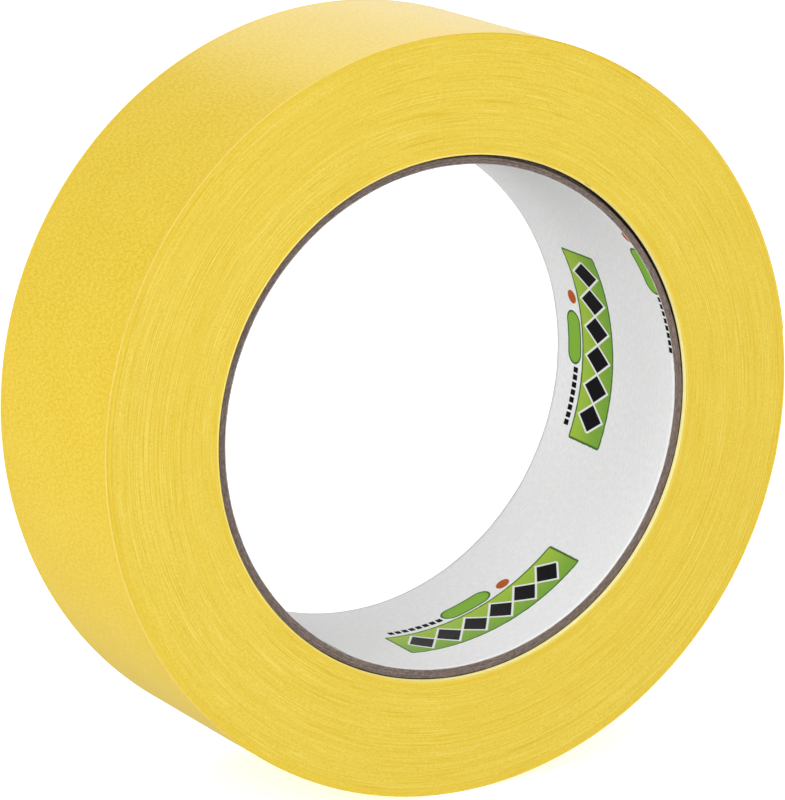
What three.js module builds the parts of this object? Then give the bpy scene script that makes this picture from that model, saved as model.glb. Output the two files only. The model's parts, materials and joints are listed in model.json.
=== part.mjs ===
// A roll of masking tape, standing on its edge.
// Millimetres, +Z up. The roll's axis is Y and the origin is on it, halfway across the tape.
// A spiral-wound paper core of four plies carries one long strip of tape. The turns that are stuck
// down are one solid, and the loose end of the strip is a chain of short flat links, each hinged to
// the one before it along the outer face of the tape.
import * as THREE from "three";

// Driving dimensions
const BORE_DIAMETER = 76.2;
const ROLL_DIAMETER = 115.3;
const TAPE_WIDTH = 36;
const TAPE_THICKNESS = 0.13;
const LINER_THICKNESS = 0.1;
const PLY_THICKNESS = 0.45;
const CORE_RECESS = 0.8; // from the tape's side face down to the end of the core
const LAYER_GAP = 0.02; // between neighbouring layers
const LINK_GAP = 0.06; // between neighbouring links of the loose end

// Facets. Every layer has its corners at the same angles, so neighbouring facets are parallel.
const SIDES = 72;
const END_LINKS = 10;
const FREE_END_CORNER = 19; // corners from the flat at the bottom up to the free end of the tape

const FACET_ANGLE = (2 * Math.PI) / SIDES;
const LOWEST_CORNER_ANGLE = -Math.PI / 2 + FACET_ANGLE / 2;
const ROLL_RADIUS = ROLL_DIAMETER / 2;
const FACET_LENGTH = 2 * ROLL_RADIUS * Math.sin(FACET_ANGLE / 2);
const LINK_TRIM = LINK_GAP / 2 / FACET_LENGTH; // as a share of one facet
const LAYER_PITCH = TAPE_THICKNESS + LAYER_GAP;
const CORE_WIDTH = TAPE_WIDTH - 2 * CORE_RECESS;

const COLOURS = {
  liner: 0xe9e9e6,
  chipboard: 0x766a60,
  tape: 0xeccf55,
  tapeEdge: 0xf3e08c,
};

function paper(name, colour, roughness) {
  return new THREE.MeshStandardMaterial({ name, color: colour, roughness, metalness: 0 });
}

function namedMesh(name, geometry, material) {
  const mesh = new THREE.Mesh(geometry, material);
  mesh.name = name;
  return mesh;
}

// A plain ring about the Y axis. Its profile closes on itself.
function ringGeometry(innerRadius, thickness, width) {
  const outerRadius = innerRadius + thickness;
  const profile = [
    new THREE.Vector2(innerRadius, -width / 2),
    new THREE.Vector2(outerRadius, -width / 2),
    new THREE.Vector2(outerRadius, width / 2),
    new THREE.Vector2(innerRadius, width / 2),
    new THREE.Vector2(innerRadius, -width / 2),
  ];
  return new THREE.LatheGeometry(profile, SIDES, FACET_ANGLE / 2);
}

// An outline drawn in the XZ plane and given the tape's width along Y.
function acrossTheTape(outline) {
  const geometry = new THREE.ExtrudeGeometry(outline, { depth: TAPE_WIDTH, bevelEnabled: false });
  geometry.rotateX(Math.PI / 2);
  geometry.translate(0, TAPE_WIDTH / 2, 0);
  return geometry;
}

// A corner of the tape's outer face, counted back along the strip from its free end.
// One whole turn back, the strip lies one layer deeper.
function spiralCorner(corner, depth) {
  const angle = LOWEST_CORNER_ANGLE + (FREE_END_CORNER + corner) * FACET_ANGLE;
  const radius = ROLL_RADIUS - (LAYER_PITCH * corner) / SIDES - depth;
  return new THREE.Vector2(radius * Math.cos(angle), radius * Math.sin(angle));
}

// A point part of the way along the facet between two corners.
function spiralPoint(position, depth) {
  const corner = Math.floor(position);
  return spiralCorner(corner, depth).lerp(spiralCorner(corner + 1, depth), position - corner);
}

function circleCorners(radius) {
  const corners = [];
  for (let corner = 0; corner < SIDES; corner += 1) {
    const angle = LOWEST_CORNER_ANGLE + corner * FACET_ANGLE;
    corners.push(new THREE.Vector2(radius * Math.cos(angle), radius * Math.sin(angle)));
  }
  return corners;
}

// All the turns that are stuck down. The outer face is one turn of the spiral, with a step as high
// as one layer where the loose end begins.
function woundTapeGeometry(innerRadius) {
  const outerFace = [];
  outerFace.push(spiralPoint(END_LINKS + LINK_TRIM, 0));
  for (let corner = END_LINKS + 1; corner <= END_LINKS + SIDES; corner += 1) {
    outerFace.push(spiralCorner(corner, 0));
  }
  outerFace.push(spiralPoint(END_LINKS + LINK_TRIM, LAYER_PITCH));
  const outline = new THREE.Shape(outerFace);
  outline.holes.push(new THREE.Path(circleCorners(innerRadius)));
  return acrossTheTape(outline);
}

// One facet's length of the loose end. Link 1 is next to the roll and the last link is the free end.
function endLinkGeometry(link) {
  const towardsEnd = END_LINKS - link + LINK_TRIM;
  const towardsRoll = END_LINKS - link + 1 - LINK_TRIM;
  const outline = new THREE.Shape([
    spiralPoint(towardsEnd, 0),
    spiralPoint(towardsRoll, 0),
    spiralPoint(towardsRoll, TAPE_THICKNESS),
    spiralPoint(towardsEnd, TAPE_THICKNESS),
  ]);
  return acrossTheTape(outline);
}

// The core from its printed paper lining outwards. Returns the radius of its outside.
function addCore(roll) {
  const layers = [
    { name: "core_liner", thickness: LINER_THICKNESS, colour: COLOURS.liner, roughness: 0.6 },
    { name: "core_inner_ply", thickness: PLY_THICKNESS, colour: COLOURS.chipboard, roughness: 0.95 },
    { name: "core_middle_ply", thickness: PLY_THICKNESS, colour: COLOURS.chipboard, roughness: 0.95 },
    { name: "core_outer_ply", thickness: PLY_THICKNESS, colour: COLOURS.chipboard, roughness: 0.95 },
  ];
  let radius = BORE_DIAMETER / 2;
  for (const layer of layers) {
    const geometry = ringGeometry(radius, layer.thickness, CORE_WIDTH);
    roll.add(namedMesh(layer.name, geometry, paper(layer.name, layer.colour, layer.roughness)));
    radius += layer.thickness + LAYER_GAP;
  }
  return radius - LAYER_GAP;
}

// The first turn, bonded to the core, and the rest of the wound strip.
function addWoundTape(roll, coreRadius) {
  const firstRadius = coreRadius + LAYER_GAP;
  const firstTurn = ringGeometry(firstRadius, TAPE_THICKNESS, TAPE_WIDTH);
  roll.add(namedMesh("first_turn", firstTurn, paper("first_turn", COLOURS.tapeEdge, 0.7)));
  const woundTape = woundTapeGeometry(firstRadius + LAYER_PITCH);
  roll.add(namedMesh("wound_tape", woundTape, paper("wound_tape", COLOURS.tape, 0.7)));
}

function addLooseEnd(roll) {
  for (let link = 1; link <= END_LINKS; link += 1) {
    const name = `tape_end_${link}`;
    roll.add(namedMesh(name, endLinkGeometry(link), paper(name, COLOURS.tape, 0.7)));
  }
}

function buildRoll() {
  const roll = new THREE.Group();
  const coreRadius = addCore(roll);
  addWoundTape(roll, coreRadius);
  addLooseEnd(roll);
  return roll;
}

export default buildRoll();
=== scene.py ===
"""The looks of a masking tape roll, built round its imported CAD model.

Metres, +Z up. The roll's axis is Y, and its front side faces -Y.
"""
import json
import math

import bpy
import numpy as np
from mathutils import Matrix, Vector


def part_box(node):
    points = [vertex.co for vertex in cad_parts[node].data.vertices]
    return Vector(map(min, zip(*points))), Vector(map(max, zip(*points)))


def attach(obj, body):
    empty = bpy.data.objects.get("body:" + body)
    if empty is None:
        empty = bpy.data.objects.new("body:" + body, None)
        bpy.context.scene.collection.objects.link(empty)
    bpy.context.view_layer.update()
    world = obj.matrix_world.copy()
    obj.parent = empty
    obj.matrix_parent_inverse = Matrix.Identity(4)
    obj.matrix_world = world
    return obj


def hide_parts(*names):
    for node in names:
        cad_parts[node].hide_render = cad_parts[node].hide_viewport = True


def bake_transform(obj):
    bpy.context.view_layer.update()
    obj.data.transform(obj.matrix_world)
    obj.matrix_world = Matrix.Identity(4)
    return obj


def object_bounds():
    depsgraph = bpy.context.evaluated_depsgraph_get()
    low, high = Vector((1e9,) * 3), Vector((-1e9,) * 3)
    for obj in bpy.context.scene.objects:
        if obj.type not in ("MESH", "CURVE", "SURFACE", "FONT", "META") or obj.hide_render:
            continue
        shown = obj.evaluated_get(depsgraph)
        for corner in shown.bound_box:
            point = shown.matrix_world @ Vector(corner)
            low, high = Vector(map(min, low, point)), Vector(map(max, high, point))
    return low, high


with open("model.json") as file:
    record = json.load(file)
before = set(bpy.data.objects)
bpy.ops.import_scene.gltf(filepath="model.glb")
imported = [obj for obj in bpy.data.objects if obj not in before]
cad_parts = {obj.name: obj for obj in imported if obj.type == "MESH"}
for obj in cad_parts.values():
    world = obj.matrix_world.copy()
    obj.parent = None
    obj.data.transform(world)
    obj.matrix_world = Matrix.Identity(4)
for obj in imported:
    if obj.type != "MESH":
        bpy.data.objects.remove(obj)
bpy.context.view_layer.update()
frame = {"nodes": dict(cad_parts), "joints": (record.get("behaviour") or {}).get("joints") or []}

MM = 0.001
SEED = 41

# How finely the round pieces are divided
TURN_COLUMNS = 180  # round one wound turn
FINE_COLUMNS = 720  # round the core
STRIP_COLUMN = math.radians(0.5)  # along the outer turn and the loose end
FACE_POINTS = 25  # across the strip's outer face
GLUED_POINTS = 5  # across its glued side

# The strip of tape
TAPE_THICKNESS = 0.13 * MM
EDGE_SOFTNESS = 0.035 * MM  # how far the slitting knife rounds the strip's long edges
WINDING_SLACK = 1 / 60  # the share of the wound thickness that is air
RELIEF_HEIGHT = 0.012 * MM  # unevenness of the strip's face
RELIEF_FINE = (0.5, (2.5, 1.2))  # its share, and its width along the strip and across, in samples
RELIEF_BROAD = (0.7, (14, 4))
WANDER = 0.011 * MM  # sideways wander of the strip as it was wound
WANDER_SHARE = 0.7  # of the fine wander and of the broad one
WANDER_FINE = 7  # columns
WANDER_BROAD = 45
TORN_DEPTH = 0.12 * MM  # unevenness of the torn free end
TORN_WIDTH = 0.6

# The side of the wound turns
SIDE_INSET = 0.02 * MM  # how far its highest lines lie inside the strip's width
GROOVE_DEPTH = 0.014 * MM  # between one turn and the next
GROOVE_SPREAD = 0.6
GROOVE_WIDTH = 5  # columns over which the groove's depth changes
LINE_GROUPS = ((5, 3), (28, 5), (49, 3), (68, 6), (97, 4), (118, 5))  # first turn, turns
LINE_ARC = 8  # columns over which a visible line comes and goes
LINE_GROOVE_DEPTH = 0.03 * MM
LINE_TURN_DEPTH = 0.006 * MM

# The first turn, bonded to the core
FIRST_SOFTNESS = 0.05 * MM  # how far its inner edges are rounded
FIRST_WANDER = 0.012 * MM
FIRST_GAP = 0.002 * MM  # between it and the wound turns
FIRST_INSET = 0.01 * MM

# The core
END_POINTS = 9  # across the end of one ply
END_INSET = 0.03 * MM  # how far a ply's end lies inside the CAD core's end
FIBRE_HEIGHT = 0.024 * MM
FIBRE_FINE = (0.6, (2.2, 0.5))  # its share, and its width round the core and across the ply
FIBRE_BROAD = (0.6, (16, 1))
PLY_SPREAD = 0.006 * MM  # unevenness of the plies' own thickness
LINING_WIDTH = 0.12 * MM  # the ply next to the liner is worn back this far from its inside
LINING_DROP = 0.10 * MM
SLOT_WIDTH = 0.13 * MM  # between the core's outside and the tape, all the way round
SLOT_DEPTH = 1.6 * MM
SLOT_SOFTNESS = 0.16 * MM
CRUSH_WIDTH = 0.44 * MM  # how much wider the slot is where the core's front end was pressed in
CRUSH_MIDDLE = math.radians(62)
CRUSH_REACH = math.radians(78)  # to each side of its middle
LINER_COLUMNS = 360
LINER_STEPS = 48  # along the bore
SEAM_TURN = math.radians(118)  # how far the liner's butt seam winds round across the roll
SEAM_ANGLE = math.radians(145)  # where it crosses the middle of the roll
SEAM_WIDTH = 0.12 * MM
SEAM_DEPTH = 0.05 * MM
FRAY = 0.02 * MM  # unevenness of the liner's ends

# How the strip bends where it peels
ROOT_BEND = math.radians(3.0)  # how much of the strip bends at the loose end's root
ROOT_COLUMN = math.radians(0.125)

# Camera: where it stands, in outer radii of the roll, and its lens
CAMERA_AZIMUTH = math.radians(-29.01)
CAMERA_ELEVATION = math.radians(13.60)
CAMERA_DISTANCE = 12.424
AIM_ASIDE = (0.0174, 0.0120)  # how far the aim passes the roll's centre, right and up
LENS_MM = 214.0


# ---------------------------------------------------------------- places read from the frame

def turned_radii(node):
    """Smallest and largest distance of a CAD node's corners from the roll's axis."""
    corners = np.array([(v.co.x, v.co.z) for v in frame["nodes"][node].data.vertices])
    distances = np.hypot(corners[:, 0], corners[:, 1])
    return distances.min(), distances.max()


def hinge_places():
    """(radius, angle) of each hinge of the loose end, from the roll to the free end."""
    places = []
    for joint in frame["joints"]:
        x, _, z = joint["pos_m"]
        places.append((math.hypot(x, z), math.atan2(z, x)))
    return places


HALF_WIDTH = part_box("wound_tape")[1].y
CORE_HALF_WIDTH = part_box("core_liner")[1].y
hinges = hinge_places()
LINK_ANGLE = hinges[0][1] - hinges[1][1]
LINKS = len(hinges)
LOOSE_ANGLE = LINKS * LINK_ANGLE  # the loose end, back from its free end to its root
FREE_ANGLE = hinges[-1][1] - LINK_ANGLE
PITCH = (hinges[-1][0] - hinges[0][0]) / (hinges[0][1] - hinges[-1][1]) * 2 * math.pi
ROLL_RADIUS = hinges[-1][0] + PITCH * LINK_ANGLE / (2 * math.pi)


def strip_radius(back):
    """Radius of the strip's outer face at an angle back along the strip from its free end."""
    return ROLL_RADIUS - PITCH * back / (2 * math.pi)


# ---------------------------------------------------------------- seeded unevenness

def smooth_noise(rng, shape, widths):
    """Noise with a spread of about 1, smoothed over so many samples along each axis."""
    field = rng.standard_normal(shape)
    for axis, width in enumerate(widths):
        if width <= 0:
            continue
        count = shape[axis]
        frequency = np.fft.fftfreq(count)
        keep = np.exp(-2 * (math.pi * width * frequency) ** 2)
        spectrum = np.fft.fft(field, axis=axis)
        spectrum *= keep.reshape([-1 if a == axis else 1 for a in range(len(shape))])
        field = np.fft.ifft(spectrum, axis=axis).real
    return field / field.std()


def uneven(rng, shape, *layers):
    """The sum of several layers of noise, each with its share and its widths."""
    total = 0.0
    for share, widths in layers:
        total = total + share * smooth_noise(rng, shape, widths)
    return total


# ---------------------------------------------------------------- meshes

def make_piece(name, points, faces, uvs=None, attributes=None, materials=(), face_materials=None):
    """A smooth mesh object with flat end caps, the only faces that have more than four corners.

    uvs has one pair per face corner, and attributes one number per point.
    """
    mesh = bpy.data.meshes.new(name)
    mesh.from_pydata([tuple(p) for p in points], [], [tuple(f) for f in faces])
    if uvs is not None:
        layer = mesh.uv_layers.new(name="strip")
        layer.data.foreach_set("uv", np.asarray(uvs, np.float32).ravel())
    for key, values in (attributes or {}).items():
        attribute = mesh.attributes.new(key, "FLOAT", "POINT")
        attribute.data.foreach_set("value", np.asarray(values, np.float32))
    for material in materials:
        mesh.materials.append(material)
    if face_materials is not None:
        mesh.polygons.foreach_set("material_index", np.asarray(face_materials, np.int32))
    mesh.polygons.foreach_set("use_smooth", [len(f) == 4 for f in faces])
    mesh.update()
    piece = bpy.data.objects.new(name, mesh)
    bpy.context.scene.collection.objects.link(piece)
    return piece


def enclosed_volume(points, faces):
    """Signed volume, which is positive when the faces look outwards."""
    corners = np.asarray(points)[np.asarray([f[:3] for f in faces])]
    total = np.einsum("ij,ij->", corners[:, 0], np.cross(corners[:, 1], corners[:, 2]))
    fourth = [f for f in faces if len(f) == 4]
    if fourth:
        fourth = np.asarray(points)[np.asarray(fourth)]
        total += np.einsum("ij,ij->", fourth[:, 0], np.cross(fourth[:, 2], fourth[:, 3]))
    return total


def loft(name, sections, closed, along, across, **details):
    """A closed solid through a row of sections, each a closed loop of points.

    The end caps of an open row have corners of their own, so that they don't shade the sides.
    sections is (row, loop, 3). along has the UV length of each section and of the closing one,
    and across the UV width of each point of the loop and of the closing one.
    """
    rows, loop, _ = sections.shape
    quads, uvs, kinds = [], [], []
    loop_kinds = details.pop("loop_kinds", [0] * loop)
    for row in range(rows if closed else rows - 1):
        following = (row + 1) % rows
        for point in range(loop):
            after = (point + 1) % loop
            quads.append((row * loop + point, row * loop + after,
                          following * loop + after, following * loop + point))
            uvs.append(((along[row], across[point]), (along[row], across[point + 1]),
                        (along[row + 1], across[point + 1]), (along[row + 1], across[point])))
            kinds.append(loop_kinds[point])
    points = sections.reshape(-1, 3)
    if not closed:
        points = np.concatenate([points, sections[0], sections[-1]])
        first_cap = (rows, 0, range(loop - 1, -1, -1))
        last_cap = (rows + 1, rows - 1, range(loop))
        for cap, row, order in (first_cap, last_cap):
            quads.append(tuple(cap * loop + point for point in order))
            uvs.append(tuple((along[row], across[point]) for point in order))
            kinds.append(0)
    middle = points.mean(0)
    if enclosed_volume(points - middle, [q for q in quads if len(q) == 4]) < 0:
        quads = [q[::-1] for q in quads]
        uvs = [u[::-1] for u in uvs]
    flat = [pair for face in uvs for pair in face]
    return make_piece(name, points, quads, flat, face_materials=kinds, **details)


# ---------------------------------------------------------------- the strip of tape

WOUND_COLUMN = 2 * math.pi / TURN_COLUMNS
rng = np.random.default_rng(SEED)

wound_inner = turned_radii("wound_tape")[0]
wound_top = strip_radius(LOOSE_ANGLE + 2 * math.pi)
TURNS = round((wound_top - wound_inner) / TAPE_THICKNESS * (1 - WINDING_SLACK)) - 1
wound_pitch = (wound_top - wound_inner) / (TURNS + 1)

# One sample of sideways wander for each wound column, from the free end to the core
lead_columns = round((LOOSE_ANGLE + 2 * math.pi) / WOUND_COLUMN)
strip_columns = lead_columns + (TURNS + 2) * TURN_COLUMNS
wander = WANDER * (WANDER_SHARE * smooth_noise(rng, (strip_columns,), (WANDER_FINE,))
                   + WANDER_SHARE * smooth_noise(rng, (strip_columns,), (WANDER_BROAD,)))
relief_rows = round((LOOSE_ANGLE + 2 * math.pi) / STRIP_COLUMN) + 2
relief = RELIEF_HEIGHT * uneven(rng, (relief_rows, FACE_POINTS), RELIEF_FINE, RELIEF_BROAD)


def strip_section():
    """Across the strip: y, depth below the outer face, and which stretches are the glued side."""
    reach = HALF_WIDTH - 8 * EDGE_SOFTNESS
    face = [(y, 0.0) for y in np.linspace(-reach, reach, FACE_POINTS)]
    corner = []
    for angle in np.radians((90, 60, 30, 0)):
        corner.append((HALF_WIDTH - EDGE_SOFTNESS * (1 - math.cos(angle)),
                       EDGE_SOFTNESS * (1 - math.sin(angle))))
    under = EDGE_SOFTNESS / 2
    corner += [(HALF_WIDTH, TAPE_THICKNESS - under), (HALF_WIDTH - under, TAPE_THICKNESS)]
    glued = [(y, TAPE_THICKNESS) for y in np.linspace(reach, -reach, GLUED_POINTS)]
    mirrored = [(-y, depth) for y, depth in corner[::-1]]
    loop = face + corner + glued + mirrored
    kinds = [0] * (len(face) + len(corner) - 1) + [1] * (len(glued) + 1) + [0] * len(mirrored)
    return np.array(loop), kinds


section, section_kinds = strip_section()
section_steps = np.hypot(*(np.roll(section, -1, 0) - section).T)
section_across = (section[0, 0] + np.concatenate(([0], np.cumsum(section_steps)))) / MM


def at_samples(samples, position):
    """Values of evenly spaced samples at a position between them."""
    low = np.floor(position).astype(int)
    share = (position - low).reshape([-1] + [1] * (samples.ndim - 1))
    return samples[low] * (1 - share) + samples[low + 1] * share


def strip_piece(name, backs, materials, torn_depth=0.0):
    """A stretch of the strip through angles back from its free end, as a closed solid."""
    backs = np.asarray(backs)
    count, loop = len(backs), len(section)
    back = np.repeat(backs[:, None], loop, 1)
    if torn_depth:
        torn = smooth_noise(np.random.default_rng(SEED + 1), (FACE_POINTS,), (TORN_WIDTH,))
        back[-1, :FACE_POINTS] += np.abs(torn) * torn_depth / ROLL_RADIUS
    depth = np.repeat(section[None, :, 1], count, 0)
    depth[:, :FACE_POINTS] -= at_samples(relief, backs / STRIP_COLUMN)
    sideways = at_samples(wander, backs / WOUND_COLUMN)
    radius = strip_radius(back) - depth
    angle = FREE_ANGLE + back
    y = section[None, :, 0] + sideways[:, None]
    points = np.stack([radius * np.cos(angle), y, radius * np.sin(angle)], -1)
    along = backs * ROLL_RADIUS / MM
    return loft(name, points, False, along, section_across, loop_kinds=section_kinds,
                materials=materials)


# ---------------------------------------------------------------- the wound turns

def broken_lines():
    """How far each column of each turn is part of a visible line, 0 to 1."""
    lines = np.zeros(strip_columns)
    draw = np.random.default_rng(SEED + 2)
    for first, turns in LINE_GROUPS:
        for turn in range(first, first + turns, 2):
            start = lead_columns + turn * TURN_COLUMNS
            arc = smooth_noise(draw, (TURN_COLUMNS,), (LINE_ARC,))
            lines[start:start + TURN_COLUMNS] += np.clip(arc, 0, 1)
    return lines


def wound_turns_piece(materials):
    """Every turn under the last one, as one spiral with a fine groove between turns."""
    rows, columns = 2 * TURNS + 1, TURN_COLUMNS
    row, column = np.meshgrid(np.arange(rows), np.arange(columns), indexing="ij")
    start = FREE_ANGLE + LOOSE_ANGLE
    angle = start + 2 * math.pi * column / columns
    radius = wound_top - wound_pitch * (row / 2 + column / columns)
    lines = broken_lines()
    depth_change = np.abs(smooth_noise(rng, (strip_columns,), (GROOVE_WIDTH,)))
    groove = GROOVE_DEPTH * (1 + GROOVE_SPREAD * depth_change)
    inner = lead_columns + np.minimum(row // 2, TURNS - 1) * columns + column
    outer = lead_columns + np.maximum((row - 1) // 2, 0) * columns + column
    sideways = (wander[inner] + wander[outer]) / 2
    is_groove = row % 2 == 0
    drop = np.where(is_groove, groove[inner] + LINE_GROOVE_DEPTH * lines[inner],
                    LINE_TURN_DEPTH * lines[inner])
    half = HALF_WIDTH - SIDE_INSET
    x, z = radius * np.cos(angle), radius * np.sin(angle)
    front = np.stack([x, sideways - (half - drop), z], -1).reshape(-1, 3)
    back = np.stack([x, sideways + (half - drop), z], -1).reshape(-1, 3)
    points = np.concatenate([front, back])
    # How much painted shade each groove between turns takes: more where a visible line runs
    groove_shade_share = np.where(is_groove, 0.55 + 0.45 * np.clip(lines[inner], 0, 1), 0.0).ravel()

    def front_at(r, c):
        return r * columns + c

    def back_at(r, c):
        return rows * columns + r * columns + c

    faces = []
    for r in range(rows - 1):
        for c in range(columns - 1):
            faces.append((front_at(r, c), front_at(r, c + 1),
                          front_at(r + 1, c + 1), front_at(r + 1, c)))
    last = columns - 1
    for r in range(rows - 3):
        faces.append((front_at(r, last), front_at(r + 2, 0),
                      front_at(r + 3, 0), front_at(r + 1, last)))
    shift = rows * columns
    faces += [tuple(i + shift for i in f[::-1]) for f in faces]
    top = [(0, c) for c in range(columns)] + [(2, 0)]
    top_step = [(2, 0), (1, 0), (0, 0)]
    bottom = [(rows - 1, c) for c in range(columns)]
    bottom += [(rows - 2, last), (rows - 3, last), (rows - 1, 0)]
    for rim in (top, top_step):
        for (r1, c1), (r2, c2) in zip(rim, rim[1:]):
            faces.append((front_at(r1, c1), back_at(r1, c1), back_at(r2, c2), front_at(r2, c2)))
    for (r1, c1), (r2, c2) in zip(bottom, bottom[1:]):
        faces.append((front_at(r1, c1), front_at(r2, c2), back_at(r2, c2), back_at(r1, c1)))
    if enclosed_volume(points, faces) < 0:
        faces = [f[::-1] for f in faces]
    return make_piece("wound_turns", points, faces, materials=materials,
                      attributes={"groove": np.concatenate([groove_shade_share, groove_shade_share])})


# ---------------------------------------------------------------- rings

core_inner = turned_radii("core_inner_ply")[0]
core_outer = turned_radii("core_outer_ply")[1]


def around(columns):
    """The angle of each column round the roll."""
    return np.arange(columns) * 2 * math.pi / columns


def turned(angle, radius, y):
    """Points at an angle round the roll's axis, a distance from it and a place along it."""
    return np.stack([radius * np.cos(angle), y, radius * np.sin(angle)], -1)


def ply_piece(name, node, seed, materials):
    """One ply of the core: a ring of board whose cut ends are fibrous."""
    inner, outer = turned_radii(node)
    draw = np.random.default_rng(SEED + seed)
    angle = around(FINE_COLUMNS)[:, None]
    radius = np.linspace(outer, inner, END_POINTS)[None, :]
    shape = (FINE_COLUMNS, END_POINTS)
    ends = []
    for crush in (CRUSH_WIDTH, 0.0):
        fibres = uneven(draw, shape, FIBRE_FINE, FIBRE_BROAD)
        end = CORE_HALF_WIDTH - END_INSET + FIBRE_HEIGHT * fibres
        end -= worn_edges(angle, radius, crush)
        ends.append(end)
    spread = PLY_SPREAD * smooth_noise(draw, shape, (3, 0))
    spread[:, 1:-1] = 0
    front = turned(angle, radius + spread, -ends[0])
    back = turned(angle, radius[:, ::-1] + spread[:, ::-1], ends[1][:, ::-1])
    sections = np.concatenate([front, back], 1)
    along = np.arange(FINE_COLUMNS + 1) * 2 * math.pi * outer / FINE_COLUMNS / MM
    across = np.arange(2 * END_POINTS + 1.0)
    return loft(name, sections, True, along, across, materials=materials)


def smooth_step(share):
    """Goes from 0 to 1 with the share, and levels out at both ends."""
    return share * share * (3 - 2 * share)


def worn_edges(angle, radius, crush):
    """How far the core's end lies below its cut: deep in the slot round its outside."""
    away = np.clip(np.abs(angle - CRUSH_MIDDLE) / CRUSH_REACH, 0, 1)
    slot = SLOT_WIDTH + crush * (1 - smooth_step(away))
    inside = np.clip((core_outer - slot - radius) / SLOT_SOFTNESS + 1, 0, 1)
    lining = np.clip((radius - core_inner) / LINING_WIDTH, 0, 1)
    return SLOT_DEPTH * (1 - smooth_step(inside)) + LINING_DROP * (1 - lining)


def liner_piece(materials):
    """The printed paper inside the core: one strip wound as a helix, with a butt seam."""
    inner, outer = turned_radii("core_liner")
    seam = SEAM_WIDTH / inner
    between_seams = np.linspace(seam, 2 * math.pi - seam, LINER_COLUMNS - 3)
    turn = np.concatenate([[0, seam / 2], between_seams, [2 * math.pi - seam / 2]])
    level = np.linspace(-1, 1, LINER_STEPS + 1)
    start = SEAM_ANGLE - 2 * math.pi + level * SEAM_TURN / 2
    draw = np.random.default_rng(SEED + 9)
    frayed = FRAY * smooth_noise(draw, (LINER_COLUMNS, 1), (1.5, 0))
    y = level[None, :] * (CORE_HALF_WIDTH - FRAY + frayed)
    angle = start[None, :] + turn[:, None]
    wall = inner + np.zeros_like(angle)
    wall[0] += SEAM_DEPTH
    sections = np.concatenate([turned(angle, wall, y),
                               turned(angle[:, ::-1], np.full_like(angle, outer), y[:, ::-1])], 1)
    piece = loft("printed_liner", sections, True, np.append(turn, 2 * math.pi),
                 np.zeros(2 * LINER_STEPS + 3),
                 loop_kinds=[0] * LINER_STEPS + [1] * (LINER_STEPS + 2),
                 materials=materials)
    set_liner_uvs(piece, start, level, np.append(turn, 2 * math.pi), inner)
    return piece


def set_liner_uvs(piece, start, level, turn, radius):
    """Lays the UV map out in millimetres: arc round the bore from +X, and y along it."""
    mesh = piece.data
    printed = len(level)
    loop = 2 * printed
    uv = mesh.uv_layers["strip"].data
    for polygon in mesh.polygons:
        rows = [v // loop for v in polygon.vertices]
        wraps = max(rows) - min(rows) > 1
        for corner, row in zip(polygon.loop_indices, rows):
            point = mesh.loops[corner].vertex_index % loop
            at = point if point < printed else loop - 1 - point
            reached = turn[-1] if wraps and row == 0 else turn[row]
            y = mesh.vertices[mesh.loops[corner].vertex_index].co.y
            uv[corner].uv = ((start[at] + reached) * radius / MM, y / MM)


def first_turn_piece(materials):
    """The innermost turn, bonded to the core, with its pale edges softened."""
    inner = turned_radii("first_turn")[0]
    columns = FINE_COLUMNS // 2
    angle = around(columns)[:, None]
    share = np.mod(angle - FREE_ANGLE - LOOSE_ANGLE, 2 * math.pi) / (2 * math.pi)
    share[share > 1 - 1.5 / TURN_COLUMNS] = 1
    outer = wound_inner + wound_pitch * (1 - share) - FIRST_GAP
    draw = np.random.default_rng(SEED + 12)
    soft = FIRST_SOFTNESS
    edge = [(inner + soft, 0.0), (inner + 0.3 * soft, 0.3 * soft), (inner, soft)]
    sideways = FIRST_WANDER * smooth_noise(draw, (columns, 1), (5, 0))
    rim = np.array([[r for r, _ in edge]]) + np.zeros((columns, 1))
    radius = np.concatenate([outer, rim], 1)
    drop = np.array([[0.0] + [d for _, d in edge]])
    half = HALF_WIDTH - FIRST_INSET - drop
    front = turned(angle, radius, sideways - half)
    back = turned(angle, radius[:, ::-1], sideways + half[:, ::-1])
    sections = np.concatenate([front, back], 1)
    along = np.arange(columns + 1) * 2 * math.pi * inner / columns / MM
    return loft("first_turn_ring", sections, True, along, np.arange(2 * len(edge) + 3.0),
                materials=materials)


# ---------------------------------------------------------------- materials

STREAK_SHIFT = 0.37  # radial millimetres a millimetre along the axis, so that the two sides differ


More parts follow.
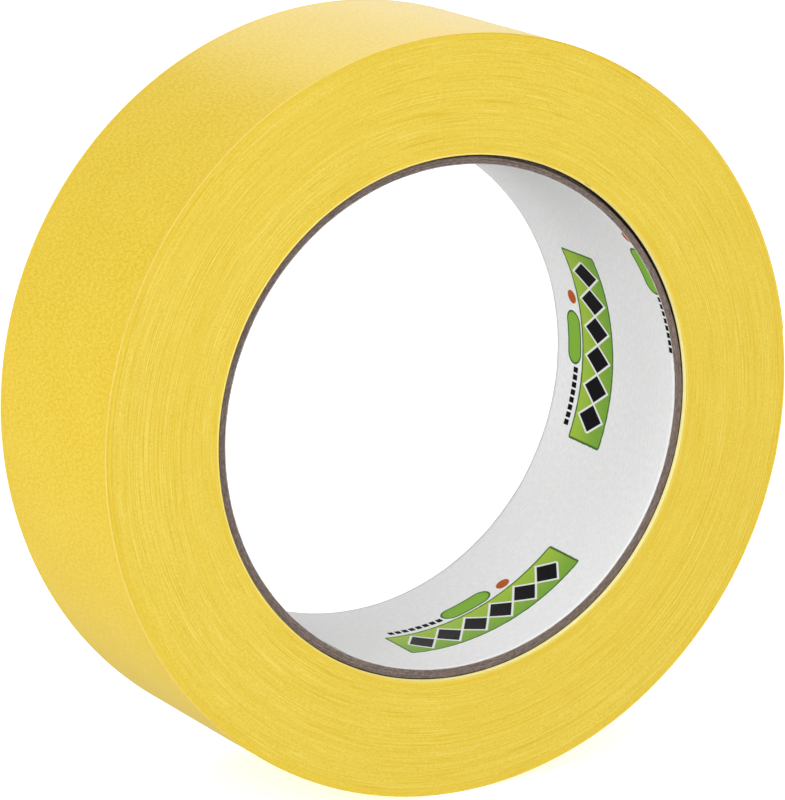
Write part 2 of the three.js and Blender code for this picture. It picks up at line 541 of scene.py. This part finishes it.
class Finish:
    """A material: one Principled shader, and the nodes that feed it."""

    def __init__(self, name, **values):
        self.material = bpy.data.materials.new(name)
        self.material.use_nodes = True
        self.tree = self.material.node_tree
        self.tree.nodes.clear()
        self.shader = self.add("ShaderNodeBsdfPrincipled", values)
        output = self.add("ShaderNodeOutputMaterial")
        self.tree.links.new(self.shader.outputs["BSDF"], output.inputs["Surface"])

    def add(self, kind, values=(), **settings):
        node = self.tree.nodes.new(kind)
        for key, value in settings.items():
            setattr(node, key, value)
        for key, value in dict(values).items():
            self.put(node.inputs[key], value)
        return node

    def put(self, socket, value):
        if isinstance(value, bpy.types.NodeSocket):
            self.tree.links.new(value, socket)
        else:
            socket.default_value = value

    def math(self, operation, *values):
        node = self.add("ShaderNodeMath", enumerate(values), operation=operation)
        return node.outputs["Value"]

    def vector(self, operation, *values):
        node = self.add("ShaderNodeVectorMath", enumerate(values), operation=operation)
        scalar = operation in ("LENGTH", "DOT_PRODUCT")
        return node.outputs["Value" if scalar else "Vector"]

    def join(self, x, y, z=0.0):
        return self.add("ShaderNodeCombineXYZ", {0: x, 1: y, 2: z}).outputs["Vector"]

    def noise(self, place, scale=1.0, detail=2.0, roughness=0.5):
        values = {"Vector": place, "Scale": scale, "Detail": detail, "Roughness": roughness}
        return self.add("ShaderNodeTexNoise", values).outputs["Fac"]

    def stretched(self, place, along, across, detail=2.0, roughness=0.5):
        """Noise with so many features a millimetre along the strip and across it."""
        scaled = self.vector("MULTIPLY", place, (along, across, 1))
        return self.noise(scaled, 1.0, detail, roughness)

    def between(self, value, low, high, start=0.0, end=1.0):
        """Goes smoothly from start to end as the value goes from low to high.

        Most of a noise lies between 0.3 and 0.7, so that is where its limits are.
        """
        values = {"Value": value, "From Min": low, "From Max": high,
                  "To Min": start, "To Max": end}
        node = self.add("ShaderNodeMapRange", values, interpolation_type="SMOOTHSTEP")
        return node.outputs["Result"]

    def mix(self, share, first, second, blend="MIX"):
        node = self.add("ShaderNodeMix", {0: share, 6: first, 7: second},
                        data_type="RGBA", blend_type=blend)
        return node.outputs[2]

    def polar(self):
        """Direction from the roll's axis, distance from it and place along it, in millimetres."""
        place = self.add("ShaderNodeTexCoord").outputs["Object"]
        flat = self.vector("MULTIPLY", place, (1 / MM, 0, 1 / MM))
        y = self.add("ShaderNodeSeparateXYZ", {0: place}).outputs["Y"]
        return (self.vector("NORMALIZE", flat), self.vector("LENGTH", flat),
                self.math("MULTIPLY", y, 1 / MM))

    def streaks(self, polar, round_scale, out_scale, detail=2.0, roughness=0.5):
        """Noise drawn out round the axis: so many features a radian, and a millimetre outwards."""
        direction, distance, y = polar
        shift = self.math("MULTIPLY", y, STREAK_SHIFT)
        lift = self.math("MULTIPLY_ADD", distance, out_scale, shift)
        swung = self.vector("MULTIPLY", direction, (round_scale, 0, round_scale))
        place = self.vector("ADD", swung, self.join(0.0, lift))
        return self.noise(place, 1.0, detail, roughness)

    def bump(self, height, distance, strength=1.0):
        values = {"Height": height, "Distance": distance, "Strength": strength}
        self.put(self.shader.inputs["Normal"],
                 self.add("ShaderNodeBump", values).outputs["Normal"])


def rgb(red, green, blue):
    return (red, green, blue, 1.0)


SIDE_YELLOW = rgb(0.82, 0.615, 0.062)
SIDE_LIGHT = rgb(0.90, 0.730, 0.155)
SIDE_DARK = rgb(0.71, 0.483, 0.023)
FACE_YELLOW = rgb(0.80, 0.568, 0.010)
FACE_LIGHT = rgb(0.88, 0.660, 0.085)
FACE_DARK = rgb(0.71, 0.475, 0.0005)
WARM_YELLOW = rgb(0.81, 0.545, 0.020)
CREAM = rgb(0.93, 0.83, 0.32)
# painted shade in the grooves between turns
GROOVE_SHADE = rgb(0.52, 0.35, 0.03)
EDGE_DEEP = rgb(0.96, 0.87, 0.33)
EDGE_LIGHT = rgb(0.97, 0.91, 0.42)
SLOT_SHADE = rgb(0.035, 0.022, 0.018)
BOARD_DARK = (0.118, 0.086, 0.077)
BOARD_LIGHT = (0.285, 0.225, 0.205)
BOARD_FLECK = rgb(0.42, 0.38, 0.34)
CUT_DARK = rgb(0.45, 0.42, 0.40)
CUT_LIGHT = rgb(0.62, 0.60, 0.58)
PAPER_DARK = rgb(0.78, 0.78, 0.78)
PAPER_LIGHT = rgb(0.865, 0.865, 0.87)
PAPER_CLOUD = rgb(0.785, 0.785, 0.795)
INK = rgb(0.005, 0.0045, 0.006)
OUTLINE_WHITE = rgb(0.80, 0.80, 0.78)
BORDER_GREEN = rgb(0.05, 0.13, 0.02)
DEEP_GREEN = rgb(0.17, 0.36, 0.045)
BRIGHT_GREEN = rgb(0.36, 0.52, 0.055)
MOTTLED_GREEN = rgb(0.30, 0.50, 0.07)
PILL_GREEN = rgb(0.22, 0.44, 0.05)
DOT_ORANGE = rgb(0.45, 0.10, 0.02)

# Relief of each surface, for its bump
SIDE_RELIEF = 0.03 * MM
STRIP_RELIEF = 0.04 * MM
PAPER_RELIEF = 0.03 * MM
BOARD_RELIEF = 0.08 * MM

# Bands of colour along the tape's edges: how many millimetres in each starts, and is full. The
# pale bands are partly a paler edge and partly a painted highlight, and the slot band is painted
# shade.
RIM_WARM = (1.6, 0.6)
CORE_WARM = (1.4, 0.6)
CORE_PALE_AND_HIGHLIGHT = (0.45, 0.0)
FACE_WARM = (2.6, 0.6)
FACE_PALE_AND_HIGHLIGHT = (0.45, 0.05)
END_FACE = (0.10, 0.03)
SLOT_SHADE_BAND = (-0.02, 0.10)


def tape_side():
    """The side of the wound turns: long fine lines round the roll, painted shade in the grooves
    between turns, and paler next to the core, partly as a painted highlight.
    """
    finish = Finish("tape_side", **{"Specular IOR Level": 0.3})
    polar = finish.polar()
    turns = finish.streaks(polar, round_scale=3.2, out_scale=5.6, detail=2)
    lines = finish.streaks(polar, round_scale=6.5, out_scale=4.4, detail=1)
    groups = finish.streaks(polar, round_scale=3.0, out_scale=0.9, detail=2)
    bands = finish.streaks(polar, round_scale=0.9, out_scale=0.35, detail=2)
    grain = finish.streaks(polar, round_scale=170, out_scale=3.6, detail=3)
    colour = finish.mix(finish.between(turns, 0.32, 0.68), SIDE_DARK, SIDE_LIGHT)
    colour = finish.mix(0.30, SIDE_YELLOW, colour)
    colour = finish.mix(finish.between(grain, 0.52, 0.66, 0.0, 0.45), colour, SIDE_LIGHT)
    colour = finish.mix(finish.between(grain, 0.48, 0.34, 0.0, 0.45), colour, SIDE_DARK)
    shown = finish.between(groups, 0.42, 0.60, 0.15, 1.0)
    dark = finish.math("MULTIPLY", shown, finish.between(lines, 0.42, 0.30, 0.0, 0.75))
    colour = finish.mix(dark, colour, SIDE_DARK)
    light = finish.math("MULTIPLY", shown, finish.between(lines, 0.60, 0.70, 0.0, 0.75))
    colour = finish.mix(light, colour, SIDE_LIGHT)
    colour = finish.mix(finish.between(bands, 0.35, 0.65, 0.0, 0.16), colour, WARM_YELLOW)
    distance = polar[1]
    inner = wound_inner / MM
    outer = ROLL_RADIUS / MM
    warm_edge = finish.between(distance, outer - RIM_WARM[0], outer - RIM_WARM[1], 0.0, 0.30)
    colour = finish.mix(warm_edge, colour, WARM_YELLOW)
    warm_core = finish.between(distance, inner + CORE_WARM[0], inner + CORE_WARM[1], 0.0, 0.30)
    colour = finish.mix(warm_core, colour, WARM_YELLOW)
    # Paler next to the core: partly paler paper edge and adhesive, partly a painted highlight on
    # the rounded inner edge
    core_pale_and_highlight = finish.between(distance, inner + CORE_PALE_AND_HIGHLIGHT[0], inner + CORE_PALE_AND_HIGHLIGHT[1], 0.0, 0.30)
    colour = finish.mix(core_pale_and_highlight, colour, CREAM)
    # Painted shade in the grooves between turns
    groove = finish.add("ShaderNodeAttribute", attribute_name="groove").outputs["Fac"]
    colour = finish.mix(finish.math("MULTIPLY", groove, 0.30), colour, GROOVE_SHADE)
    finish.put(finish.shader.inputs["Base Color"], colour)
    finish.put(finish.shader.inputs["Roughness"], finish.between(turns, 0.2, 0.8, 0.62, 0.80))
    finish.bump(finish.math("ADD", turns, lines), SIDE_RELIEF, 0.35)
    return finish.material


def tape_face():
    """The face of the strip: smooth fine-grained paper, warmer near its edges, and pale right at
    them, partly as a painted highlight.
    """
    finish = Finish("tape_face", **{"Specular IOR Level": 0.35})
    place = finish.add("ShaderNodeUVMap", uv_map="strip").outputs["UV"]
    fibre = finish.stretched(place, along=1.9, across=1.4, detail=4, roughness=0.6)
    crossed = finish.stretched(place, along=4.4, across=0.9, detail=3)
    streak = finish.stretched(place, along=0.04, across=0.9, detail=3)
    crepe = finish.stretched(place, along=2.2, across=0.30, detail=2)
    cloud = finish.noise(place, scale=0.10, detail=3)
    mottle = finish.math("MULTIPLY", finish.math("ADD", fibre, crossed), 0.5)
    colour = finish.mix(finish.between(mottle, 0.40, 0.60), FACE_DARK, FACE_LIGHT)
    colour = finish.mix(0.62, FACE_YELLOW, colour)
    colour = finish.mix(finish.between(streak, 0.4, 0.7, 0.0, 0.22), colour, WARM_YELLOW)
    colour = finish.mix(finish.between(crepe, 0.55, 0.75, 0.0, 0.18), colour, FACE_LIGHT)
    colour = finish.mix(finish.between(cloud, 0.38, 0.62, 0.0, 0.12), colour, FACE_LIGHT)
    half = HALF_WIDTH / MM
    parts = finish.add("ShaderNodeSeparateXYZ", {0: place})
    across = finish.math("ABSOLUTE", parts.outputs["Y"])
    warm = finish.between(across, half - FACE_WARM[0], half - FACE_WARM[1], 0.0, 0.35)
    colour = finish.mix(warm, colour, WARM_YELLOW)
    # Pale along the strip's edges: partly paler paper at the cut, partly a painted highlight on
    # the rounded edge
    pale = finish.between(across, half - FACE_PALE_AND_HIGHLIGHT[0], half - FACE_PALE_AND_HIGHLIGHT[1], 0.0, 0.30)
    colour = finish.mix(pale, colour, CREAM)
    finish.put(finish.shader.inputs["Base Color"], colour)
    finish.put(finish.shader.inputs["Roughness"], finish.between(mottle, 0.3, 0.7, 0.32, 0.42))
    height = finish.math("ADD", finish.math("MULTIPLY", crepe, 1.2), mottle)
    finish.bump(height, STRIP_RELIEF, 0.45)
    return finish.material


def tape_glue():
    """The glued side of the loose end: smoother, glossier and paler than the face."""
    finish = Finish("tape_glue", **{"Specular IOR Level": 0.5, "Coat Weight": 0.25,
                                    "Coat Roughness": 0.25})
    place = finish.add("ShaderNodeUVMap", uv_map="strip").outputs["UV"]
    fibre = finish.stretched(place, along=2.2, across=4.0, detail=3)
    smear = finish.stretched(place, along=0.08, across=0.9, detail=3)
    colour = finish.mix(finish.between(fibre, 0.35, 0.65), SIDE_YELLOW, SIDE_LIGHT)
    colour = finish.mix(finish.between(smear, 0.35, 0.65, 0.25, 0.6), colour, CREAM)
    finish.put(finish.shader.inputs["Base Color"], colour)
    finish.put(finish.shader.inputs["Roughness"], finish.between(smear, 0.3, 0.7, 0.32, 0.5))
    finish.bump(finish.math("ADD", fibre, smear), STRIP_RELIEF, 0.4)
    return finish.material


def tape_edge():
    """The pale first turn: yellow on its end faces, with painted shade where it meets the core."""
    finish = Finish("tape_edge", **{"Specular IOR Level": 0.35})
    polar = finish.polar()
    fine = finish.streaks(polar, round_scale=40, out_scale=5, detail=3)
    long = finish.streaks(polar, round_scale=6, out_scale=2, detail=2)
    colour = finish.mix(finish.between(fine, 0.3, 0.7), EDGE_DEEP, EDGE_LIGHT)
    from_middle = finish.math("ABSOLUTE", polar[2])
    half = HALF_WIDTH / MM
    end_face = finish.between(from_middle, half - END_FACE[0], half - END_FACE[1], 0.0, 0.85)
    colour = finish.mix(end_face, colour, finish.mix(long, SIDE_YELLOW, SIDE_LIGHT))
    core_end = CORE_HALF_WIDTH / MM
    # Painted shade on the wall deep in the slot beside the core's end
    in_slot_shade = finish.between(from_middle, core_end - SLOT_SHADE_BAND[0], core_end - SLOT_SHADE_BAND[1])
    colour = finish.mix(in_slot_shade, colour, SLOT_SHADE)
    finish.put(finish.shader.inputs["Base Color"], colour)
    finish.put(finish.shader.inputs["Roughness"], finish.between(fine, 0.2, 0.8, 0.55, 0.75))
    finish.bump(fine, STRIP_RELIEF, 0.5)
    return finish.material


def chipboard(name, tone, shift):
    """Grey-brown board whose cut ends show fibres drawn out round the core.

    tone makes a ply lighter or darker, and shift moves its pattern away from its neighbours'.
    """
    finish = Finish(name, **{"Specular IOR Level": 0.15})
    direction, distance, y = finish.polar()
    polar = (direction, finish.math("ADD", distance, shift), y)
    fibre = finish.streaks(polar, round_scale=55, out_scale=7, detail=3, roughness=0.6)
    layer = finish.streaks(polar, round_scale=7, out_scale=4, detail=2)
    fleck = finish.streaks(polar, round_scale=95, out_scale=9, detail=1)
    dark = rgb(*(tone * share for share in BOARD_DARK))
    light = rgb(*(tone * share for share in BOARD_LIGHT))
    colour = finish.mix(finish.between(fibre, 0.3, 0.7), dark, light)
    colour = finish.mix(finish.between(layer, 0.35, 0.65, 0.35, 0.0), colour, dark)
    colour = finish.mix(finish.between(fleck, 0.68, 0.78, 0.0, 0.6), colour, BOARD_FLECK)
    finish.put(finish.shader.inputs["Base Color"], colour)
    finish.put(finish.shader.inputs["Roughness"], finish.between(fibre, 0.2, 0.8, 0.8, 0.98))
    finish.bump(finish.math("ADD", fibre, layer), BOARD_RELIEF, 0.7)
    return finish.material


# Print on the liner: plain bars in slanted rows. Millimetres, round the bore and along it.
PRINT_START = (2.5, 5.0)
PRINT_STEP = (48.6, 8.9)  # from a bar to the next in its row
PRINT_ROW = (17.3, -28.6)  # from a row to the next
BAR_SLANT = math.radians(-1.5)
BAR_SIZE = (31.8, 9.2)
BAR_CORNER = 0.5
MARKS = 6  # lozenges on a bar
MARK_STEP = 4.7
MARK_SIZE = (2.2, 3.3)  # half of a lozenge, along the bar and across it
PILL_PLACE = (-0.2, 6.9)
PILL_SIZE = (8.8, 3.9)
DOT_PLACE = (6.6, 6.3)
DOT_RADIUS = 1.15
LEFT_OUT = (1, 0)  # the bar missing from the print, counted along its row and across the rows
LABEL_PLACE = (-9.6, 6.3)
LABEL_SIZE = (9.6, 1.3)
LABEL_CORNER = 0.1
LABEL_DASH = 1.2  # from one dash of the label to the next
INK_SOFTNESS = 0.06  # how far a printed edge runs, to each side
BAR_SOFTNESS = 0.08
BAR_ROUGHNESS = 0.25
BAR_BORDER = (0.24, 0.44)  # from the bar's edge: where its dark border ends, and its green is full
PILL_BORDER = (0.24, 0.40)
OUTLINE = (1.20, 1.14)  # the outer edge of a lozenge's pale outline, in lozenge sizes
LOZENGE = (1.00, 0.94)
DASH = (0.40, 0.34)  # half of a dash, in dash steps


def outside_rectangle(finish, x, y, size, corner):
    """How far a point lies outside a rounded rectangle about the origin."""
    reach = []
    for value, length in ((x, size[0]), (y, size[1])):
        beyond = finish.math("SUBTRACT", finish.math("ABSOLUTE", value), length / 2 - corner)
        reach.append(finish.math("MAXIMUM", beyond, 0.0))
    distance = finish.vector("LENGTH", finish.join(*reach))
    return finish.math("SUBTRACT", distance, corner)


def printed_paper():
    """White paper with rows of green bars. Each bar holds a row of dark lozenges."""
    finish = Finish("printed_paper", **{"Specular IOR Level": 0.05})
    place = finish.add("ShaderNodeUVMap", uv_map="strip").outputs["UV"]
    fibre = finish.stretched(place, along=1.1, across=2.4, detail=4, roughness=0.6)
    cloud = finish.noise(place, scale=0.35, detail=3)
    colour = finish.mix(finish.between(fibre, 0.3, 0.7), PAPER_DARK, PAPER_LIGHT)
    colour = finish.mix(finish.between(cloud, 0.35, 0.65, 0.0, 0.25), colour, PAPER_CLOUD)
    paper = colour

    # The place within the nearest bar's cell of the pattern, and whether that bar is left out
    (ax, ay), (bx, by) = PRINT_STEP, PRINT_ROW
    size = ax * by - ay * bx
    ex, ey = math.cos(BAR_SLANT), math.sin(BAR_SLANT)
    moved = finish.vector("SUBTRACT", place, (*PRINT_START, 0))
    cell, away = [], []
    for weights, number in (((by / size, -bx / size, 0), LEFT_OUT[0]),
                            ((-ay / size, ax / size, 0), LEFT_OUT[1])):
        turns = finish.math("ADD", finish.vector("DOT_PRODUCT", moved, weights), 0.5)
        cell.append(finish.math("SUBTRACT", finish.math("FRACT", turns), 0.5))
        away.append(finish.math("ABSOLUTE",
                                finish.math("SUBTRACT", finish.math("FLOOR", turns), number)))
    left_out = finish.math("LESS_THAN", finish.math("ADD", *away), 0.5)
    cell = finish.join(*cell)
    along = finish.vector("DOT_PRODUCT", cell, (ax * ex + ay * ey, bx * ex + by * ey, 0))
    aside = finish.vector("DOT_PRODUCT", cell, (ay * ex - ax * ey, by * ex - bx * ey, 0))
    rough = finish.math("MULTIPLY", finish.math("SUBTRACT", fibre, 0.5), BAR_ROUGHNESS)

    # The bar
    outside = finish.math("ADD", outside_rectangle(finish, along, aside, BAR_SIZE, BAR_CORNER),
                          rough)
    half = BAR_SIZE[1] / 2
    green = finish.mix(finish.between(aside, -half, half), DEEP_GREEN, BRIGHT_GREEN)
    green = finish.mix(finish.between(fibre, 0.3, 0.7, 0.0, 0.3), green, MOTTLED_GREEN)
    colour = finish.mix(finish.between(outside, BAR_SOFTNESS, -BAR_SOFTNESS), colour, BORDER_GREEN)
    colour = finish.mix(finish.between(outside, -BAR_BORDER[0], -BAR_BORDER[1]), colour, green)

    # Its lozenges
    shifted = finish.math("ADD", finish.math("DIVIDE", along, MARK_STEP), MARKS % 2 / 2)
    within = finish.math("SUBTRACT", finish.math("FRACT", shifted), 0.5)
    lozenge = finish.math("ADD",
                          finish.math("MULTIPLY", finish.math("ABSOLUTE", within),
                                      MARK_STEP / MARK_SIZE[0]),
                          finish.math("DIVIDE", finish.math("ABSOLUTE", aside), MARK_SIZE[1]))
    row_end = MARKS * MARK_STEP / 2
    inside_row = finish.between(finish.math("ABSOLUTE", along), row_end + 0.01, row_end - 0.01)
    white = finish.math("MULTIPLY", finish.between(lozenge, *OUTLINE), inside_row)
    dark = finish.math("MULTIPLY", finish.between(lozenge, *LOZENGE), inside_row)
    colour = finish.mix(white, colour, OUTLINE_WHITE)
    colour = finish.mix(dark, colour, INK)

    # The pill, the dot and the row of dashes beside the bar
    pill = outside_rectangle(finish, finish.math("SUBTRACT", along, PILL_PLACE[0]),
                             finish.math("SUBTRACT", aside, PILL_PLACE[1]), PILL_SIZE,
                             PILL_SIZE[1] / 2)
    colour = finish.mix(finish.between(pill, INK_SOFTNESS, -INK_SOFTNESS), colour, BORDER_GREEN)
    colour = finish.mix(finish.between(pill, -PILL_BORDER[0], -PILL_BORDER[1]), colour, PILL_GREEN)
    dot = finish.vector("LENGTH", finish.vector("SUBTRACT", finish.join(along, aside),
                                                (*DOT_PLACE, 0)))
    in_dot = finish.between(dot, DOT_RADIUS + INK_SOFTNESS, DOT_RADIUS - INK_SOFTNESS)
    colour = finish.mix(in_dot, colour, DOT_ORANGE)
    label = outside_rectangle(finish, finish.math("SUBTRACT", along, LABEL_PLACE[0]),
                              finish.math("SUBTRACT", aside, LABEL_PLACE[1]), LABEL_SIZE,
                              LABEL_CORNER)
    dash = finish.math("FRACT", finish.math("DIVIDE", along, LABEL_DASH))
    dash = finish.between(finish.math("ABSOLUTE", finish.math("SUBTRACT", dash, 0.5)), *DASH)
    label = finish.math("MULTIPLY", dash, finish.between(label, INK_SOFTNESS, -INK_SOFTNESS))
    colour = finish.mix(label, colour, INK)
    colour = finish.mix(left_out, colour, paper)
    finish.put(finish.shader.inputs["Base Color"], colour)
    inked = finish.between(outside, 0.1, -0.1)
    roughness = finish.between(fibre, 0.2, 0.8, 0.56, 0.7)
    finish.put(finish.shader.inputs["Roughness"],
               finish.math("MULTIPLY_ADD", inked, -0.12, roughness))
    finish.bump(fibre, PAPER_RELIEF, 0.5)
    return finish.material


def plain_paper():
    """The liner's cut ends and its back."""
    finish = Finish("plain_paper", **{"Specular IOR Level": 0.12})
    polar = finish.polar()
    fibre = finish.streaks(polar, round_scale=40, out_scale=5, detail=3)
    colour = finish.mix(finish.between(fibre, 0.3, 0.7), CUT_DARK, CUT_LIGHT)
    finish.put(finish.shader.inputs["Base Color"], colour)
    finish.put(finish.shader.inputs["Roughness"], finish.between(fibre, 0.2, 0.8, 0.75, 0.9))
    finish.bump(fibre, PAPER_RELIEF, 0.5)
    return finish.material


# ---------------------------------------------------------------- the pieces

PLIES = (("inner", 1.04, 0), ("middle", 1.0, 40), ("outer", 0.96, 90))  # name, tone, shift
PLY_SEED = 20  # added to SEED for the first of them


def columns_between(start, end, step):
    """Evenly spaced angles from the start to the end, about a step apart."""
    return np.linspace(start, end, round(abs(start - end) / step) + 1)


def add_loose_end(materials):
    """The loose end, from its root on the roll to its free end, one piece for each hinge."""
    start = LOOSE_ANGLE
    for number, joint in enumerate(frame["joints"], 1):
        hinge = LOOSE_ANGLE - (number - 1) * LINK_ANGLE
        if number == 1:
            end, step = hinge - ROOT_BEND, ROOT_COLUMN
        else:
            end, step = hinge - LINK_ANGLE / 2, STRIP_COLUMN
        torn_depth = 0.0
        if number == LINKS:
            end, torn_depth = 0.0, TORN_DEPTH
        backs = columns_between(start, end, step)
        piece = strip_piece(f"loose_end_{number}", backs, materials, torn_depth)
        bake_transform(piece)
        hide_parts(joint["child"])
        start = end


def add_roll():
    """Every piece of the roll, each on its body."""
    face, side, glue = tape_face(), tape_side(), tape_glue()
    outer_backs = columns_between(LOOSE_ANGLE + 2 * math.pi, LOOSE_ANGLE, STRIP_COLUMN)
    riding = [
        (wound_turns_piece([side]), ("wound_tape",), "tape"),
        (strip_piece("outer_turn", outer_backs, [face, glue]), ("wound_tape",), "tape"),
        (first_turn_piece([tape_edge()]), ("first_turn",), "tape_edge"),
        (liner_piece([printed_paper(), plain_paper()]), ("core_liner",), "core_liner"),
    ]
    for seed, (which, tone, shift) in enumerate(PLIES, PLY_SEED):
        node = f"core_{which}_ply"
        material = chipboard(f"chipboard_{which}", tone, shift)
        piece = ply_piece(f"board_{which}", node, seed, [material])
        riding.append((piece, (node,), "core_board"))
    for piece, nodes, slot in riding:
        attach(piece, "roll")
        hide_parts(*nodes)
    add_loose_end([face, glue])


# ---------------------------------------------------------------- floor, light and camera

WHITE = rgb(1.0, 1.0, 1.0)
FLOOR_WHITE = rgb(0.93, 0.93, 0.93)
FLOOR_SIZE = 12.0
FLOOR_GLOW = 0.62
LIGHT_DISTANCE = 1.3
LIGHT_SIZE = 0.9
LIGHTS = (  # name, azimuth (0 in front of the roll, 90 to its right), elevation, watts
    ("light_left_front", -50, 20, 9.4),
    ("light_front", 0, 15, 5.6),
    ("light_top", 0, 90, 3.8),
    ("light_right_back", 150, 20, 3.0),
    ("light_left_below", -100, -50, 9.0),
)
HORIZON_FADE = (-0.25, 0.10)  # heights of a direction between which the tent's light changes
LIGHT_ABOVE = 0.48  # the white tent round the roll, above the floor's level and below it
LIGHT_BELOW = 0.44


def add_floor():
    """A plain white sheet at the roll's lowest point. Its own light only lifts the background."""
    half = FLOOR_SIZE / 2
    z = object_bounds()[0].z
    corners = [(-half, -half, z), (half, -half, z), (half, half, z), (-half, half, z)]
    mesh = bpy.data.meshes.new("floor")
    mesh.from_pydata(corners, [], [(0, 1, 2, 3)])
    finish = Finish("floor_paper", **{"Base Color": FLOOR_WHITE, "Roughness": 0.9,
                                      "Specular IOR Level": 0.0, "Emission Color": WHITE,
                                      "Emission Strength": FLOOR_GLOW})
    mesh.materials.append(finish.material)
    floor = bpy.data.objects.new("floor", mesh)
    floor.visible_diffuse = False
    floor.visible_glossy = False
    floor.visible_shadow = False
    bpy.context.scene.collection.objects.link(floor)


def add_world():
    """White light from all round, weaker from below."""
    world = bpy.data.worlds.new("studio")
    world.use_nodes = True
    tree = world.node_tree
    background = tree.nodes["Background"]
    background.inputs["Color"].default_value = WHITE
    direction = tree.nodes.new("ShaderNodeTexCoord")
    parts = tree.nodes.new("ShaderNodeSeparateXYZ")
    fade = tree.nodes.new("ShaderNodeMapRange")
    fade.interpolation_type = "SMOOTHSTEP"
    limits = {"From Min": HORIZON_FADE[0], "From Max": HORIZON_FADE[1],
              "To Min": LIGHT_BELOW, "To Max": LIGHT_ABOVE}
    for key, value in limits.items():
        fade.inputs[key].default_value = value
    tree.links.new(direction.outputs["Generated"], parts.inputs[0])
    tree.links.new(parts.outputs["Z"], fade.inputs["Value"])
    tree.links.new(fade.outputs["Result"], background.inputs["Strength"])
    bpy.context.scene.world = world


def add_area_light(name, azimuth, elevation, power):
    """A square soft light that faces the roll."""
    azimuth, elevation = math.radians(azimuth), math.radians(elevation)
    place = LIGHT_DISTANCE * Vector((math.sin(azimuth) * math.cos(elevation),
                                     -math.cos(azimuth) * math.cos(elevation),
                                     math.sin(elevation)))
    light = bpy.data.lights.new(name, "AREA")
    light.shape = "SQUARE"
    light.size = LIGHT_SIZE
    light.energy = power
    lamp = bpy.data.objects.new(name, light)
    lamp.visible_camera = False
    facing = place.to_track_quat("Z", "Y").to_matrix().to_4x4()
    lamp.matrix_world = Matrix.Translation(place) @ facing
    bpy.context.scene.collection.objects.link(lamp)


def add_camera():
    """The camera of the main view, which fills the frame with the roll."""
    out = Vector((math.sin(CAMERA_AZIMUTH) * math.cos(CAMERA_ELEVATION),
                  -math.cos(CAMERA_AZIMUTH) * math.cos(CAMERA_ELEVATION),
                  math.sin(CAMERA_ELEVATION)))
    right = Vector((math.cos(CAMERA_AZIMUTH), math.sin(CAMERA_AZIMUTH), 0.0))
    up = out.cross(right)
    place = ROLL_RADIUS * (CAMERA_DISTANCE * out - AIM_ASIDE[0] * right - AIM_ASIDE[1] * up)
    data = bpy.data.cameras.new("camera")
    data.lens = LENS_MM
    data.clip_start = 0.01
    camera = bpy.data.objects.new("camera", data)
    turn = Matrix((right, up, out)).transposed().to_4x4()
    camera.matrix_world = Matrix.Translation(place) @ turn
    bpy.context.scene.collection.objects.link(camera)
    bpy.context.scene.camera = camera


add_roll()
add_floor()
add_world()
for light_values in LIGHTS:
    add_area_light(*light_values)
add_camera()
bpy.context.scene.view_settings.view_transform = "Standard"
